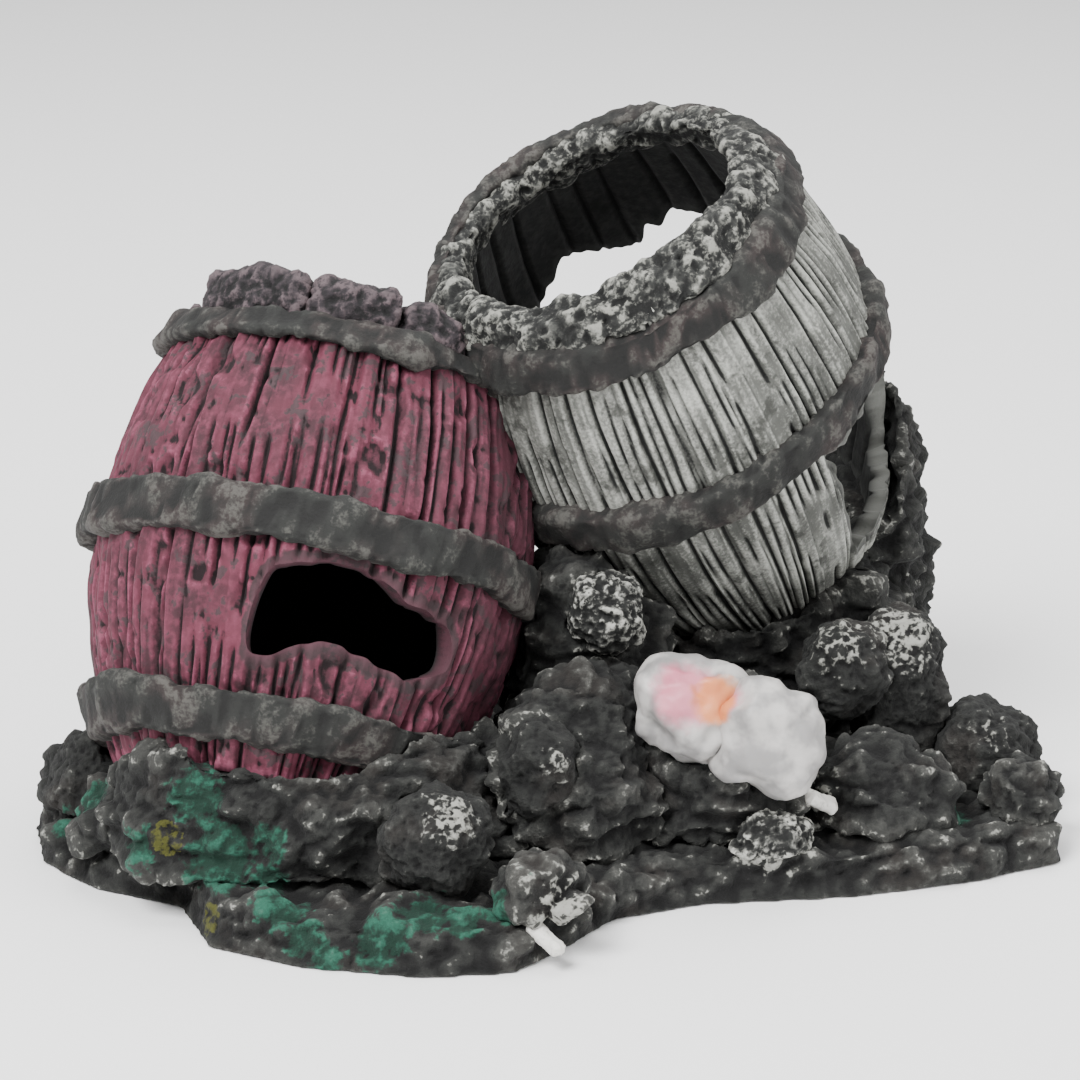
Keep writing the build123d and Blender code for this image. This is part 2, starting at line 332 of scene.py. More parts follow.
def soften_rims(piece, free, rounds, reach):
    """Rounds the outlines of the holes in an open shell, drawing the nearby wall along."""
    corners = np.empty(len(piece.data.loops), dtype=np.int64)
    piece.data.loops.foreach_get("edge_index", corners)
    edges = edges_of(piece)
    rim = edges[np.bincount(corners, minlength=len(edges)) == 1]
    points = points_of(piece)
    smooth = averaged(points, rim, rounds)
    on_rim = np.zeros(len(points), bool)
    on_rim[rim.ravel()] = True
    on_rim &= free
    shift = np.zeros_like(points)
    for _ in range(reach):
        shift[on_rim] = (smooth - points)[on_rim]
        shift = averaged(shift, edges, 1)
    shift[on_rim] = (smooth - points)[on_rim]
    set_points(piece, points + shift)
    return averaged(on_rim.astype(float), edges, 9)


def cut_drum(name, columns, rows):
    """An open upright cylinder of unit size, cut into rows."""
    deselect()
    bpy.ops.mesh.primitive_cylinder_add(vertices=columns, radius=1, depth=2, end_fill_type="NOTHING")
    piece = bpy.context.object
    piece.name = name
    ends = points_of(piece)[edges_of(piece)][:, :, 2]
    edge_mode(piece, "EDGE", ends[:, 0] * ends[:, 1] < 0)
    bpy.ops.mesh.subdivide(number_cuts=rows - 1)
    end_edit()
    return piece


def open_holes(piece, flat, height, is_open):
    """Takes out the faces whose middle lies in an opening."""
    middle = face_middles(piece.data, np.column_stack([flat[:, 0], flat[:, 1], height]))
    edge_mode(piece, "FACE", is_open(np.arctan2(middle[:, 1], middle[:, 0]), middle[:, 2]))
    bpy.ops.mesh.delete(type="FACE")
    bpy.ops.mesh.select_all(action="SELECT")
    bpy.ops.mesh.normals_make_consistent(inside=False)
    end_edit()


def give_wall(piece, barrel, edge):
    """Thickens an open skin inwards, to a calmer inside face with its own stave joints."""
    outer = len(piece.data.vertices)
    apply(piece, "SOLIDIFY", thickness=WALL * MM, offset=-1, use_rim=True, use_even_offset=False)
    points = points_of(piece)
    spot = points[:outer] - barrel.centre
    height = spot @ barrel.up
    angle = np.arctan2(spot @ barrel.back, spot @ barrel.side)
    dents = 0.4 * swell(around(angle, height), 6.0, 5, 2)
    cut, _ = staves(angle, height, count=30, seed=5, depth=0.8, width=0.6, wander=0.2, breaks=-0.4)
    points[outer:] = barrel.place(angle, height, barrel.radius(height) - WALL + dents - cut)
    set_points(piece, points)
    keep_above_base(piece)
    mark(piece, "edge", np.clip(4.0 * np.resize(edge, len(points)), 0, 1))
    depth = averaged((np.arange(len(points)) >= outer).astype(float), edges_of(piece), 2)
    mark(piece, "inner", smooth_step(0.05, 0.6, depth))


def drum_shell(name, barrel, high_of, columns, rows, shape_of, is_open, rounds):
    """A stave shell: a drum bulged, carved, broken open and given its wall."""
    piece = cut_drum(name, columns, rows)
    flat = points_of(piece) * MM
    angle = np.arctan2(flat[:, 1], flat[:, 0])
    top = high_of(angle)
    height = -FOOT + (flat[:, 2] + 1) / 2 * (top + FOOT)
    set_points(piece, barrel.place(angle, height, barrel.radius(height) + shape_of(angle, height)))
    mark(piece, "rise", height)
    mark(piece, "headroom", top - height)
    open_holes(piece, flat, height, is_open)
    rise, headroom = (read_mark(piece, key) for key in ("rise", "headroom"))
    edge = soften_rims(piece, (rise > 0.5 - FOOT) & (headroom > 0.6), rounds, 8)
    give_wall(piece, barrel, edge)
    return piece


def inside_outline(across, up, outline):
    """Whether points lie inside a closed outline."""
    inside = np.zeros(across.shape, bool)
    for (x0, y0), (x1, y1) in zip(outline, outline[1:] + outline[:1]):
        crosses = (y0 > up) != (y1 > up)
        at = x0 + (up - y0) / (y1 - y0 + 1e-9) * (x1 - x0)
        inside ^= crosses & (across < at)
    return inside


# Outline of the red barrel's door: across from its middle, and height from the belly.
DOOR_OUTLINE = [
    (-14.6, -6.9), (-11.0, -5.2), (-7.3, -4.7), (-2.8, -4.4), (0.0, -5.6), (3.0, -7.6), (8.0, -8.4),
    (12.3, -9.0), (14.0, -12.0), (13.6, -16.0), (7.0, -17.4), (2.3, -17.0), (-2.7, -15.2), (-6.2, -15.8),
    (-10.1, -17.6), (-15.0, -19.2), (-15.3, -14.7),
]
DOOR_ANGLE = math.radians(-72.0)


def red_shape(angle, height):
    """Carving of the red staves."""
    cut, stave = staves(angle, height, count=28, seed=4, depth=1.5, width=0.5, wander=0.2, breaks=-0.15)
    fine, _ = staves(angle, height, count=84, seed=9, depth=0.95, width=0.38, wander=0.4, breaks=0.0)
    step = stave_step(stave, 28, 31, 0.3)
    streak = grain(angle, height, seed=12, across=1.4, along=11.0)
    dents = swell(around(angle, height), 7.0, 21, 2)
    chewed = smooth_step(0.2, 0.45, swell(around(angle, height * 0.6), 3.6, 27, 2))
    chips = smooth_step(0.3, 0.55, swell(around(angle, height), 1.9, 29, 2))
    return cut + fine + step + 0.4 * streak + 0.45 * dents - 0.9 * chewed - 0.5 * chips


def red_top(angle):
    """Height of the red shell's top, which is level."""
    return np.full_like(angle, RED_TOP)


def red_open(angle, height):
    """Where the red shell has its ragged door."""
    across = across_door(angle, height)
    shake = 0.6 * swell(around(angle, height), 3.4, 61, 1)
    shake_up = 0.6 * swell(around(angle, height), 3.0, 67, 1)
    in_front = np.cos(angle - DOOR_ANGLE) > 0
    return inside_outline(across + shake, height + shake_up, DOOR_OUTLINE) & in_front


def across_door(angle, height):
    """Distance sideways from the middle of the door."""
    return red.radius(height) * np.sin(angle - DOOR_ANGLE)


def grey_top(angle):
    """Height of the grey shell's top, which follows the slanting mouth."""
    middle = (GREY_RIM_HIGH + GREY_RIM_LOW) / 2
    slope = (GREY_RIM_HIGH - GREY_RIM_LOW) / 2
    return middle - slope * np.cos(angle - math.radians(GREY_RIM_LOW_SIDE)) - GREY_CRUST_HEIGHT + 1.0


def grey_shape(angle, height):
    """Carving of the grey staves."""
    cut, stave = staves(angle, height, count=40, seed=14, depth=1.0, width=0.42, wander=0.16, breaks=-0.3)
    fine, _ = staves(angle, height, count=118, seed=19, depth=0.6, width=0.27, wander=0.4, breaks=-0.05)
    step = stave_step(stave, 44, 33, 0.2)
    streak = grain(angle, height, seed=15, across=1.1, along=13.0)
    dents = swell(around(angle, height), 8.0, 23, 2)
    return cut + fine + step + 0.28 * streak + 0.3 * dents


# Broken openings of the grey barrel: from and to in degrees, from and to in height.
BACK_GAP = (56, 156, -24, 5.4)
SIDE_GAP = (-53, 4, -28, -4.6)


def grey_open(angle, height):
    """Where the grey shell is broken through, at its back and at its side."""
    degrees = np.degrees(angle)
    lump = 2.0 * swell(around(angle, height), 5.0, 71, 2) + 1.6 * swell(around(angle, height), 2.4, 73, 1)
    first, last, low, high = BACK_GAP
    high = high + 2.2 * np.sin(np.radians((degrees - 60) * 9)) + lump
    back = (degrees > first + lump) & (degrees < last + 1.5 * lump)
    back &= (height < high) & (height > low + lump)
    first, last, low, high = SIDE_GAP
    side = (degrees > first + 2 * lump) & (degrees < last + 2 * lump)
    side &= (height < high + 0.4 * lump) & (height > low + lump)
    return back | side


# ---------------------------------------------------------------- hoops and crusts
def squared(share, power):
    """Turns a round section, from -1 to 1, into a boxier one."""
    return np.sign(share) * np.abs(share) ** power


def ring(name, barrel, height_of, width, thick, offset, columns, corners, square):
    """A band round a barrel: a torus squared off and moved to its place."""
    deselect()
    bpy.ops.mesh.primitive_torus_add(
        major_segments=columns, minor_segments=corners, major_radius=2, minor_radius=1
    )
    piece = bpy.context.object
    piece.name = name
    flat = points_of(piece) * MM
    angle = np.arctan2(flat[:, 1], flat[:, 0])
    out, up = squared(np.hypot(flat[:, 0], flat[:, 1]) - 2, square), squared(flat[:, 2], square)
    height = height_of(angle) + up * width / 2
    radius = barrel.radius(height) + offset + out * thick / 2
    set_points(piece, barrel.place(angle, height, radius))
    return piece, angle


def chew(piece, amounts, seed, keep=None):
    """Moves points along their normals by several sizes of noise: (size, amount, kind)."""
    points, normals = points_of(piece), normals_of(piece)
    shift = np.zeros(len(points))
    for number, (size, amount, kind) in enumerate(amounts):
        if kind == "swell":
            value = swell(points, size, seed + number * 7, 2)
        elif kind == "ridge":
            value = 1 - 2 * np.abs(swell(points, size, seed + number * 7, 2))
        elif kind == "lump":
            warp = [0.35 * size * swell(points, size * 1.2, seed + 31 + a) for a in range(3)]
            value = 0.8 - 1.4 * cells(points + np.stack(warp, axis=-1), size, seed + number * 7)
        elif kind == "fold":
            value = 2.2 * np.abs(swell(points * (1, 1, 1.5), size, seed + number * 7, 2)) - 0.7
        else:
            value = -1 + smooth_step(0.12, 0.42, cells(points, size, seed + number * 7))
        shift += amount * value
    if keep is not None:
        shift = shift * keep
    set_points(piece, points + normals * shift[:, None])


# What roughens each kind of surface: size and depth in millimetres, and the kind of mark.
HOOP_CHEW = (
    (8.0, 1.3, "swell"), (3.4, 0.7, "lump"), (2.2, 0.3, "ridge"), (1.4, 0.25, "pit"), (0.9, 0.15, "ridge"),
)
CRUST_CHEW = (
    (9.0, 1.6, "swell"), (3.8, 1.2, "lump"), (2.0, 0.7, "pit"), (1.2, 0.4, "pit"), (0.8, 0.2, "ridge"),
)
LUMP_CHEW = ((7.0, 1.6, "swell"), (3.0, 0.9, "lump"), (1.6, 0.5, "ridge"), (0.9, 0.2, "ridge"))

HOOP_PROUD = 0.4  # middle of a hoop's section outside the staves


def hoop(name, node, barrel, height, width, thick, wobble, seed, gap=None):
    """A crusted hoop, whole or ending either side of a gap given in degrees."""

    def height_of(angle):
        drum = around(angle, np.zeros_like(angle))
        return height + wobble * swell(drum, 14.0, seed + 50, 2)

    piece, angle = ring(
        name, barrel, height_of, width, thick, HOOP_PROUD, columns=440, corners=24, square=0.32
    )
    if gap:
        first, last = (math.radians(a) for a in gap)
        turn = face_middles(piece.data, np.column_stack([np.cos(angle), np.sin(angle)]))
        turn = np.arctan2(turn[:, 1], turn[:, 0])
        edge_mode(piece, "FACE", (turn > first) & (turn < last))
        bpy.ops.mesh.delete(type="FACE")
        bpy.ops.mesh.select_all(action="SELECT")
        bpy.ops.mesh.fill_holes(sides=0)
        bpy.ops.mesh.select_all(action="SELECT")
        bpy.ops.mesh.normals_make_consistent(inside=False)
        end_edit()
    chew(piece, HOOP_CHEW, seed)
    keep_above_base(piece)
    mark_relief(piece, 0.3, 8)
    shade(piece, 60)
    set_out(piece, node, materials["hoop"])


def grey_crust():
    """The encrusted mouth of the grey barrel."""
    middle = (GREY_RIM_HIGH + GREY_RIM_LOW) / 2 - GREY_CRUST_HEIGHT / 2 - 0.4
    slope = (GREY_RIM_HIGH - GREY_RIM_LOW) / 2

    def height_of(angle):
        drum = around(angle, np.zeros_like(angle))
        lift = 0.8 * swell(drum, 9.0, 84, 2)
        return middle - slope * np.cos(angle - math.radians(GREY_RIM_LOW_SIDE)) + lift

    piece, _ = ring(
        "grey_mouth_crust", grey, height_of, width=GREY_CRUST_HEIGHT + 1.4, thick=5.2, offset=-1.4,
        columns=520, corners=44, square=0.75,
    )
    chew(piece, CRUST_CHEW, 90)
    mark_relief(piece, 0.45, 8)
    shade(piece, 70)
    set_out(piece, "grey_rim_crust", materials["crust"])


# ---------------------------------------------------------------- rocks
ROCK_CHEW = (
    (12.0, 1.6, "swell"), (6.5, 1.8, "fold"), (3.6, 0.6, "fold"), (3.0, 0.7, "lump"), (1.7, 0.3, "ridge"),
    (1.2, 0.3, "pit"), (0.9, 0.2, "ridge"),
)
BOULDER_CHEW = (
    (7.0, 1.2, "swell"), (5.0, 0.5, "fold"), (3.4, 0.5, "lump"), (2.0, 0.4, "ridge"), (1.2, 0.3, "pit"),
    (0.9, 0.2, "ridge"),
)
LACE_CHEW = (
    (7.0, 1.2, "swell"), (3.6, 0.6, "fold"), (2.2, 0.6, "pit"), (1.4, 0.5, "pit"), (0.9, 0.25, "ridge"),
)


def settled_on(points, floor):
    """Points with their lowest part brought down flat on a floor."""
    flat = smooth_step(floor + 1.6, floor + 0.2, points[:, 2])
    points[:, 2] = np.maximum(points[:, 2] * (1 - flat) + floor * flat, floor)
    return points


def rock(name, node, material, voxel, grow, blur, seed, amounts=ROCK_CHEW, floor=None,
         moss=True):
    """A craggy rock in the place of a chiselled one: blurred, grown a little, then roughened."""
    piece = copy_of(node, name)
    apply(piece, "REMESH", mode="VOXEL", voxel_size=voxel * MM)
    points = averaged(points_of(piece), edges_of(piece), blur)
    set_points(piece, points)
    normals = normals_of(piece)
    set_points(piece, points + normals * grow)
    keep = None
    if floor is not None:
        keep = smooth_step(floor, floor + 2.5, points[:, 2])
    chew(piece, amounts, seed, keep)
    if floor is not None:
        set_points(piece, settled_on(points_of(piece), floor))
    mark_relief(piece, 0.4, 8)
    mark_relief(piece, 0.9, 40, "depth")
    if moss:
        mark(piece, "moss", moss_at(points_of(piece)))
        mark(piece, "bloom", bloom_at(points_of(piece)))
    shade(piece, 70)
    set_out(piece, node, material)
    return piece


# Patches of green wash, of olive and of heavy pale brushing: middle and size.
MOSS = (
    (-61.4, -33.4, 11.3, 4.0), (-66.5, -30.3, 6.3, 4.0), (-53.0, -46.0, 10.0, 4.2),
    (-45.5, -45.9, 17.0, 5.5), (-42.7, -49.1, 9.9, 6.5), (-36.6, -50.5, 12.0, 4.0),
    (-36.0, -50.7, 7.0, 3.5), (-33.9, -57.3, 6.0, 5.0), (-31.0, -61.3, 3.4, 3.8),
    (-28.2, -64.0, 2.0, 3.2), (-20.5, -63.2, 4.0, 5.0), (-15.1, -60.1, 6.2, 5.0),
    (-10.0, -61.7, 6.0, 3.5), (-5.2, -59.6, 7.0, 3.0), (57.3, -25.2, 6.5, 5.0),
)
OLIVE = ((-49.9, -46.9, 11.4, 2.6), (-45.2, -54.1, 3.2, 3.0))
BLOOM = (
    (-12.0, -55.0, 17.5, 5.0), (51.5, -11.0, 27.5, 7.5), (43.0, -15.0, 27.0, 5.5), (31.0, -38.0, 6.0, 6.0),
    (2.0, -60.0, 8.0, 5.0), (38.0, -31.0, 10.0, 4.0), (55.5, -27.0, 6.5, 4.5), (2.0, -43.0, 21.0, 3.0),
    (64.0, -14.0, 13.0, 4.0),
)


def away_from(points, spot):
    """Distance from a spot, as a share of the spot's size."""
    x, y, z, size = spot
    return np.sqrt(((points - np.array((x, y, z))) ** 2).sum(1)) / size


def bloom_at(points):
    """Where the pale dry brushing is heavy: 1 at a spot's middle, 0 outside it."""
    best = np.zeros(len(points))
    for spot in BLOOM:
        best = np.maximum(best, 1.2 - away_from(points, spot))
    return np.clip(best, 0, 1)


def moss_at(points):
    """Where the green wash lies, from 1 down to 0 outside it, and -1 where it is olive."""
    best = np.zeros(len(points))
    for spot in MOSS:
        best = np.maximum(best, 1.25 - away_from(points, spot))
    for spot in OLIVE:
        best = np.where(away_from(points, spot) < 1, -1, best)
    return best


# ---------------------------------------------------------------- paints
def ink(code):
    """Colour of a paint from its usual six-figure code."""
    parts = [int(code[i : i + 2], 16) / 255 for i in (0, 2, 4)]
    return tuple(p / 12.92 if p < 0.04045 else ((p + 0.055) / 1.055) ** 2.4 for p in parts) + (1.0,)


class Wire:
    """A socket that takes part in sums, so shader maths reads as ordinary maths."""

    def __init__(self, paint, socket):
        self.paint, self.socket = paint, socket

    def __add__(self, other):
        return self.paint.maths("ADD", self, other)

    def __sub__(self, other):
        return self.paint.maths("SUBTRACT", self, other)

    def __rsub__(self, other):
        return self.paint.maths("SUBTRACT", other, self)

    def __mul__(self, other):
        return self.paint.maths("MULTIPLY", self, other)

    def __truediv__(self, other):
        return self.paint.maths("DIVIDE", self, other)

    __radd__ = __add__
    __rmul__ = __mul__

    def step(self, low, high):
        """0 below low, 1 above high, and smooth between."""
        return self.paint.add(
            "ShaderNodeMapRange", {"interpolation_type": "SMOOTHSTEP"},
            {"Value": self, "From Min": low, "From Max": high},
        )["Result"]

    def clipped(self):
        return self.paint.maths("MINIMUM", self.paint.maths("MAXIMUM", self, 0.0), 1.0)


class Node:
    """A node whose outputs are read by name as wires."""

    def __init__(self, paint, node):
        self.paint, self.node = paint, node

    def __getitem__(self, name):
        return Wire(self.paint, self.node.outputs[name])


class Paint:
    """A material: its node tree, built by expressions."""

    def __init__(self, name):
        self.material = bpy.data.materials.new(name)
        self.material.use_nodes = True
        self.tree = self.material.node_tree
        self.shader = self.tree.nodes["Principled BSDF"]
        self.place = self.add("ShaderNodeTexCoord", {}, {})["Object"]

    def add(self, kind, settings, sockets):
        node = self.tree.nodes.new(kind)
        for key, value in settings.items():
            setattr(node, key, value)
        for key, value in sockets.items():
            self.connect(node.inputs[key], value)
        return Node(self, node)

    def connect(self, target, value):
        if isinstance(value, Wire):
            self.tree.links.new(value.socket, target)
        else:
            target.default_value = value

    def maths(self, operation, a, b):
        return self.add("ShaderNodeMath", {"operation": operation}, {0: a, 1: b})["Value"]

    def mix(self, factor, first, second):
        node = self.tree.nodes.new("ShaderNodeMix")
        node.data_type = "RGBA"
        self.connect(node.inputs[0], factor)
        self.connect(node.inputs[6], first)
        self.connect(node.inputs[7], second)
        return Wire(self, node.outputs[2])

    def noise(self, size, detail):
        """Noise from 0 to 1 with features of a size in millimetres."""
        return self.add(
            "ShaderNodeTexNoise", {},
            {"Vector": self.place, "Scale": 1 / (size * MM), "Detail": detail, "Roughness": 0.55},
        )["Fac"]

    def shaken(self, size, amount):
        """The place on the piece, pushed about by noise, both in millimetres."""
        push = self.add(
            "ShaderNodeTexNoise", {}, {"Vector": self.place, "Scale": 1 / (size * MM), "Detail": 2.0}
        )
        centred = self.add(
            "ShaderNodeVectorMath", {"operation": "SUBTRACT"}, {0: push["Color"], 1: (0.5, 0.5, 0.5)}
        )["Vector"]
        scaled = self.add(
            "ShaderNodeVectorMath", {"operation": "SCALE"}, {0: centred, "Scale": 2 * amount * MM}
        )["Vector"]
        return self.add("ShaderNodeVectorMath", {"operation": "ADD"}, {0: self.place, 1: scaled})["Vector"]

    def web(self, size):
        """Distance to the edge of uneven cells of a size in millimetres."""
        return self.add(
            "ShaderNodeTexVoronoi", {"feature": "DISTANCE_TO_EDGE"},
            {"Vector": self.shaken(size, 0.7 * size), "Scale": 1 / (size * MM)},
        )["Distance"]

    def value(self, name):
        """A number stored on the piece's points."""
        return self.add("ShaderNodeAttribute", {"attribute_name": name}, {})["Fac"]

    def finish(self, colour, rough, height, bump=0.6, distance=0.25):
        self.connect(self.shader.inputs["Base Color"], colour)
        self.connect(self.shader.inputs["Roughness"], rough)
        relief = self.add(
            "ShaderNodeBump", {}, {"Strength": bump, "Distance": distance * MM, "Height": height}
        )["Normal"]
        self.connect(self.shader.inputs["Normal"], relief)
        return self.material


def rock_paint():
    """Near-black cast rock, dry-brushed grey on its ridges and washed green in patches, with painted shade
    in its deep hollows.
    """
    p = Paint("dark_rock_paint")
    relief, moss, bloom, depth = (p.value(key) for key in ("relief", "moss", "bloom", "depth"))
    coarse, fine, speck = p.noise(9.0, 3), p.noise(1.2, 4), p.noise(0.5, 3)
    tone = p.mix((relief * 0.7 + fine * 0.9 - 0.1).step(0.0, 0.8), ink("050505"), ink("20211F"))
    tone = p.mix(coarse.step(0.5, 0.68) * 0.6, tone, ink("25211E"))
    # Painted shade: the deepest hollows of the rock are darkened to near black.
    painted_hollow_shade = (depth * -1.0 + (fine - 0.5) * 0.8).step(-0.05, 0.45)
    brushed = (relief * 0.7 + (fine - 0.5) * 2.4 + (coarse - 0.5) * 2.0 + bloom * 0.5).step(0.5, 1.4)
    colour = p.mix(brushed * (speck.step(0.35, 0.6) * 0.5 + 0.3), tone, ink("62625E"))
    raised = (depth + (fine - 0.5) * 1.8 + (coarse - 0.5) * 1.4).step(0.35, 1.1)
    colour = p.mix(raised * 0.4, colour, ink("454542"))
    colour = p.mix(painted_hollow_shade * 0.9, colour, ink("020202"))
    web = 1.0 - p.web(1.5).step(0.02, 0.3)
    lace = (bloom * 0.8 + relief * 0.5 + (fine - 0.5) * 1.8 + (web - 0.5) * 0.4).step(0.6, 1.0)
    colour = p.mix(lace * 0.8, colour, ink("9C9C95"))
    wash = (moss * 1.1 + (fine - 0.5) * 1.3 + (coarse - 0.5) * 1.0 + relief * 0.2).step(0.5, 0.75)
    green = p.mix((relief * 0.7 + speck + (fine - 0.5)).step(0.45, 1.2), ink("06281D"), ink("1D5342"))
    colour = p.mix(wash * 0.92, colour, green)
    olive = (moss * -1.0 + (fine - 0.5) * 2.4).step(0.75, 1.15)
    colour = p.mix(olive * 0.8, colour, ink("4A4B17"))
    return p.finish(colour, 0.97 - brushed * 0.05, fine * 0.7 + speck * 0.7, 0.9, 0.5)


def crust_paint(name, dark, middle, pale, lace, amount):
    """Pitted crust: black pits, a grey body and pale lace on the edges of the pits."""
    p = Paint(name)
    relief = p.value("relief")
    fine, speck, patch = p.noise(1.1, 4), p.noise(0.4, 3), p.noise(7.0, 2)
    web = p.web(lace)
    body = p.mix((relief + (fine - 0.5)).step(-0.25, 0.5), dark, middle)
    line = (1.0 - web.step(0.02, 0.3)) * (fine + relief * 0.3 + (speck - 0.5) * 0.9).step(0.46, 0.66)
    high = (relief + (fine - 0.5) * 1.7 + (speck - 0.5) * 0.9).step(0.3, 0.95)
    cover = (high + line * 0.75) * ((patch + relief * 0.2).step(0.38, 0.64) * amount + (1 - amount) * 0.4)
    colour = p.mix(cover.clipped(), body, pale)
    return p.finish(colour, 0.9 - high * 0.08, fine + speck * 0.6, 0.8, 0.4)


def red_paint():
    """Wine-red staves with black joints, worn bright on the high grain and grey in patches."""
    p = Paint("red_stave_paint")
    relief, inner = p.value("relief"), p.value("inner")
    fine, speck, patch = p.noise(1.3, 4), p.noise(0.5, 3), p.noise(9.0, 3)
    base = p.mix(patch.step(0.35, 0.68), ink("30101A"), ink("551E2F"))
    base = p.mix((fine + relief * 0.4).step(0.4, 0.8), base, ink("632A3C"))
    light = (relief + (speck - 0.5) * 1.1 + (fine - 0.5) * 0.8).step(0.3, 0.85)
    colour = p.mix(light * 0.6, base, ink("824458"))
    worn = (p.noise(3.4, 4) + (fine - 0.5) * 0.8).step(0.56, 0.66)
    colour = p.mix(worn * 0.8, colour, ink("2A2526"))
    split = p.add("ShaderNodeSeparateXYZ", {}, {"Vector": p.place})
    shadow = (split["X"] + (patch - 0.5) * 0.02).step(-0.022, 0.004)
    colour = p.mix(shadow * 0.45, colour, ink("240A13"))
    joint = (relief * -1.0 + (speck - 0.5) * 0.6 + (fine - 0.5) * 0.4).step(0.02, 0.42)
    colour = p.mix(joint, colour, ink("120307"))
    # Painted shade: the inside face of the wall is made near black.
    colour = p.mix(inner, colour, ink("080506"))
    edge = (p.value("edge") + (p.noise(3.0, 3) - 0.5) * 2.2).step(0.35, 0.75)
    colour = p.mix(edge * (1.0 - inner) * 0.85, colour, ink("241A1C"))
    return p.finish(colour, 0.82 + joint * 0.12, fine * 0.6 + speck * 0.5, 0.55, 0.35)


def grey_paint():
    """Weathered grey staves: near-black joints and grain, pale dry-brushed wood, and a painted shadow on
    the left side.
    """
    p = Paint("grey_stave_paint")
    relief, inner = p.value("relief"), p.value("inner")
    fine, speck, patch = p.noise(1.2, 4), p.noise(0.45, 3), p.noise(10.0, 3)
    base = p.mix(patch.step(0.3, 0.7), ink("454642"), ink("6F706B"))
    light = (relief + (speck - 0.5) * 1.1 + (patch - 0.5) * 1.2).step(-0.1, 0.6)
    colour = p.mix(light * 0.85, base, ink("ADAEA7"))
    split = p.add("ShaderNodeSeparateXYZ", {}, {"Vector": p.place})
    # Painted shadow: the left side of the grey staves (towards -X, reaching further in higher up) is
    # darkened; it joins the grime patches in one dark colour.
    shadow = (split["X"] * -1.0 + split["Z"] * 0.3 + (p.noise(12.0, 2) - 0.5) * 0.02).step(0.008, 0.03)
    grime_and_shadow = ((p.noise(5.5, 4) + (fine - 0.5) * 0.5).step(0.56, 0.72) + shadow * 0.6).clipped()
    colour = p.mix(grime_and_shadow * 0.7, colour, ink("22231F"))
    joint = (relief * -1.0 + (speck - 0.5) * 0.6).step(0.02, 0.4)
    colour = p.mix(joint * 0.95, colour, ink("0B0C0B"))
    shade_inside = p.mix((relief + (fine - 0.5) * 1.4).step(-0.3, 0.6), ink("060606"), ink("292A28"))
    colour = p.mix(inner, colour, shade_inside)
    edge = (p.value("edge") + (p.noise(3.0, 3) - 0.5) * 1.6).step(0.3, 0.7)
    colour = p.mix(edge * (1.0 - inner) * 0.85, colour, ink("1A1B19"))
    return p.finish(colour, 0.85 + joint * 0.1, fine * 0.6 + speck * 0.5, 0.55, 0.35)


def hoop_paint():
    """Rusty grey hoops, pitted, with a faint bloom on the crust."""
    p = Paint("hoop_paint")
    relief = p.value("relief")
    fine, speck, patch = p.noise(1.2, 4), p.noise(0.45, 3), p.noise(8.0, 3)
    base = p.mix(patch.step(0.4, 0.65), ink("1D1E1C"), ink("271F1E"))
    base = p.mix((relief + (fine - 0.5)).step(-0.3, 0.6), ink("0E0E0D"), base)
    bloom = (relief + (speck - 0.5) * 1.6 + (patch - 0.5) * 1.4 + (fine - 0.5) * 2.0).step(0.5, 1.4)
    colour = p.mix(bloom * 0.5, base, ink("5A5954"))
    return p.finish(colour, 0.9 - bloom * 0.08, fine * 0.8 + speck * 0.5, 0.7, 0.4)


def quartz_paint():
    """Milky tumbled stone with a pink and orange vein."""
    p = Paint("quartz")
    pink, orange = p.value("pink"), p.value("orange")
    fine, cloud = p.noise(2.0, 4), p.noise(5.0, 3)
    base = p.mix(cloud.step(0.38, 0.62), ink("8E8C8B"), ink("B9B6B3"))
    base = p.mix(fine.step(0.55, 0.8) * 0.5, base, ink("8F8B89"))
    colour = p.mix((pink + (fine - 0.5) * 0.6).step(0.25, 0.8) * 0.85, base, ink("C96C82"))
    colour = p.mix((orange + (fine - 0.5) * 0.6).step(0.3, 0.8) * 0.85, colour, ink("D4813F"))
    p.shader.inputs["Subsurface Weight"].default_value = 0.15
    p.shader.inputs["Subsurface Radius"].default_value = (0.004, 0.003, 0.003)
    return p.finish(colour, 0.35 + fine * 0.25, fine, 0.35, 0.25)


def chip_paint():
    """Chalky white chip with grey smears."""
    p = Paint("white_chip")
    fine = p.noise(1.0, 4)
    colour = p.mix(fine.step(0.5, 0.75) * 0.6, ink("D8D6D0"), ink("80807B"))
    return p.finish(colour, 0.6 + fine * 0.2, fine, 0.5, 0.25)


def plank_paint():
    """Boards of the red barrel's head."""
    p = Paint("head_board_paint")
    split = p.add("ShaderNodeSeparateXYZ", {}, {"Vector": p.place})
    across = split["X"] / (6.0 * MM)
    seam = p.maths("PINGPONG", across, 0.5)
    joint = 1.0 - seam.step(0.03, 0.09)
    fine, patch = p.noise(1.2, 4), p.noise(8.0, 3)
    base = p.mix(patch.step(0.35, 0.7), ink("3A141D"), ink("582B36"))
    colour = p.mix((fine + 0.1).step(0.5, 0.8) * 0.5, base, ink("7A4555"))
    colour = p.mix(joint, colour, ink("100405"))
    return p.finish(colour, 0.85 + joint * 0.1, fine * 0.5 - joint * 2.0, 0.8, 0.5)


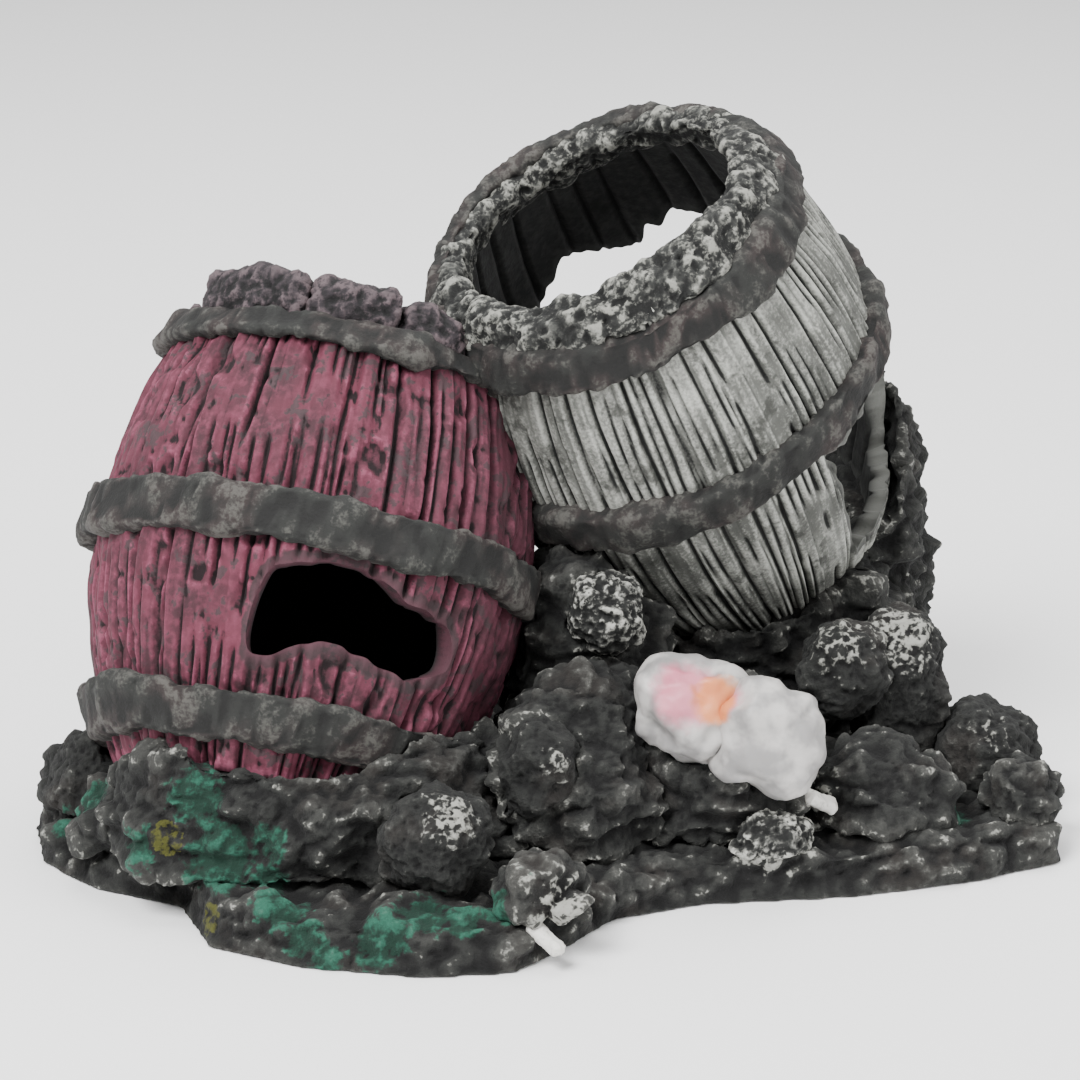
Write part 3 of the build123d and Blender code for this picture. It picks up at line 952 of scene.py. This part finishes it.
materials = {
    "rock": rock_paint(),
    "crust": crust_paint("mouth_crust_paint", ink("080908"), ink("2B2C2A"), ink("86867F"), 1.5, 0.7),
    "lace": crust_paint("lace_crust_paint", ink("070807"), ink("20211F"), ink("A6A69F"), 1.5, 0.9),
    "lump": crust_paint("lump_paint", ink("080708"), ink("262024"), ink("524649"), 2.0, 0.5),
    "red": red_paint(),
    "grey": grey_paint(),
    "hoop": hoop_paint(),
    "quartz": quartz_paint(),
    "chip": chip_paint(),
    "planks": plank_paint(),
}


# ---------------------------------------------------------------- build the ornament
def finish_shell(piece, node, material):
    """Records the carving of a stave shell for its paint, and sets it out."""
    mark_relief(piece, 0.42, 6)
    shade(piece, 60)
    set_out(piece, node, material)


red_shell = drum_shell(
    "red_staves", red, red_top, columns=620, rows=78, shape_of=red_shape, is_open=red_open, rounds=14
)
finish_shell(red_shell, "red_barrel_shell", materials["red"])
grey_shell = drum_shell(
    "grey_staves", grey, grey_top, columns=620, rows=82, shape_of=grey_shape, is_open=grey_open, rounds=5
)
finish_shell(grey_shell, "grey_barrel_shell", materials["grey"])

# Hoops: name, node, barrel, height, width, thickness, wobble, seed.
hoop("red_rim_hoop", "red_top_hoop", red, RED_TOP - 1.6, 3.6, 2.4, 0.5, 3)
hoop("red_middle_hoop", "red_belly_hoop", red, 0.0, 6.6, 3.0, 0.7, 13)
hoop("red_lower_hoop", "red_foot_hoop", red, -HOOP_PITCH, 6.6, 3.0, 0.7, 23)
hoop("grey_upper_hoop", "grey_neck_hoop", grey, HOOP_PITCH - 1.2, 5.2, 2.6, 0.5, 33)
hoop("grey_middle_hoop", "grey_belly_hoop", grey, 0.0, 5.6, 2.8, 0.9, 43, gap=(56, 138))
grey_crust()

rock(
    "red_rim_lumps", "red_stave_stubs", materials["lump"], voxel=0.4, grow=0.9, blur=8, seed=51,
    amounts=LUMP_CHEW, moss=False,
)
rock("base_rock", "base_slab", materials["rock"], voxel=0.68, grow=0.0, blur=8, seed=61, floor=0.0)
for number, node in enumerate(
    (
        "centre_outcrop", "gap_rock", "back_outcrop", "red_cradle", "middle_ledge", "pebble_seat",
        "right_ridge", "left_mound", "front_toe_rock", "right_toe_rock", "back_left_boulder",
    )
):
    rock(node + "_rock", node, materials["rock"], voxel=0.5, grow=0.8, blur=6, seed=71 + 5 * number)
for number, node in enumerate(
    ("left_boulder", "front_boulder", "knob_boulder", "tall_rock", "saddle_rock", "right_boulder")
):
    rock(
        node + "_stone", node, materials["rock"], voxel=0.35, grow=0.4, blur=10, seed=141 + 5 * number,
        amounts=BOULDER_CHEW,
    )
for number, node in enumerate(("crusted_rock", "pocked_rock")):
    rock(
        node + "_stone", node, materials["lace"], voxel=0.4, grow=0.5, blur=12, seed=191 + 5 * number,
        amounts=LACE_CHEW, moss=False,
    )


def pebble(name, node, seed, rounds, pink_at, orange_at):
    """A tumbled stone set in the resin, stained pink and orange round two spots."""
    piece = copy_of(node, name)
    apply(piece, "REMESH", mode="VOXEL", voxel_size=0.4 * MM)
    set_points(piece, averaged(points_of(piece), edges_of(piece), rounds))
    chew(piece, ((6.0, 2.6, "swell"), (4.0, 1.0, "ridge"), (2.0, 0.3, "ridge")), seed)
    set_points(piece, averaged(points_of(piece), edges_of(piece), 3))
    for layer, spot in (("pink", pink_at), ("orange", orange_at)):
        mark(piece, layer, np.clip(1.4 - away_from(points_of(piece), spot), 0, 1))
    shade(piece, 80)
    set_out(piece, node, materials["quartz"])


pebble("left_pebble", "quartz_pebble_left", 5, 26, (20.0, -38.5, 29.5, 5.5), (24.0, -38.0, 28.0, 4.0))
pebble("right_pebble", "quartz_pebble_right", 12, 12, (24.5, -38.0, 28.0, 3.0), (24.5, -38.0, 27.0, 2.6))

for node in ("white_chip_front", "white_chip_right"):
    piece = copy_of(node, node + "_sliver")
    apply(piece, "REMESH", mode="VOXEL", voxel_size=0.2 * MM)
    chew(piece, ((2.4, 0.5, "swell"), (0.9, 0.15, "ridge")), 9)
    shade(piece, 50)
    set_out(piece, node, materials["chip"])

head = copy_of("red_barrel_head", "red_head_boards")
shade(head, 30)
set_out(head, "red_barrel_head", materials["planks"])


# ---------------------------------------------------------------- stage
SKY_STRENGTH = 0.75
LIGHTS = (  # name, place, size, power
    ("key", (-0.35, -0.45, 0.75), 0.4, 15.0),
    ("fill", (0.6, -0.4, 0.4), 0.6, 4.0),
    ("top", (0.05, 0.25, 0.8), 0.6, 6.0),
)
LIT_POINT = (0, 0, 0.04)


def stage():
    """Pale floor, soft lights and the camera."""
    deselect()
    bpy.ops.mesh.primitive_plane_add(size=6, location=(0, 0, -0.0002))
    floor = bpy.context.object
    floor.name = "floor"
    pale = bpy.data.materials.new("pale_floor")
    pale.use_nodes = True
    pale.node_tree.nodes["Principled BSDF"].inputs["Base Color"].default_value = (0.9, 0.9, 0.9, 1)
    pale.node_tree.nodes["Principled BSDF"].inputs["Roughness"].default_value = 0.9
    floor.data.materials.append(pale)
    world = bpy.data.worlds.new("studio")
    bpy.context.scene.world = world
    world.use_nodes = True
    world.node_tree.nodes["Background"].inputs["Color"].default_value = (1, 1, 1, 1)
    world.node_tree.nodes["Background"].inputs["Strength"].default_value = SKY_STRENGTH
    for name, place, size, power in LIGHTS:
        light = bpy.data.lights.new(name, "AREA")
        light.size, light.energy = size, power
        lamp = bpy.data.objects.new(name, light)
        bpy.context.collection.objects.link(lamp)
        lamp.location = place
        aim = Vector(LIT_POINT) - Vector(place)
        lamp.rotation_euler = aim.to_track_quat("-Z", "Y").to_euler()
    lens = bpy.data.cameras.new("camera")
    lens.lens = LENS
    lens.sensor_width = 36
    lens.clip_start = 0.01
    eye = bpy.data.objects.new("camera", lens)
    bpy.context.collection.objects.link(eye)
    tilt = math.radians(EYE_HEIGHT_ANGLE)
    look = Vector(LOOK_AT) * MM
    eye.location = look + Vector((0, -math.cos(tilt), math.sin(tilt))) * EYE_DISTANCE * MM
    eye.rotation_euler = (look - eye.location).to_track_quat("-Z", "Y").to_euler()
    bpy.context.scene.camera = eye


stage()
bpy.context.view_layer.update()
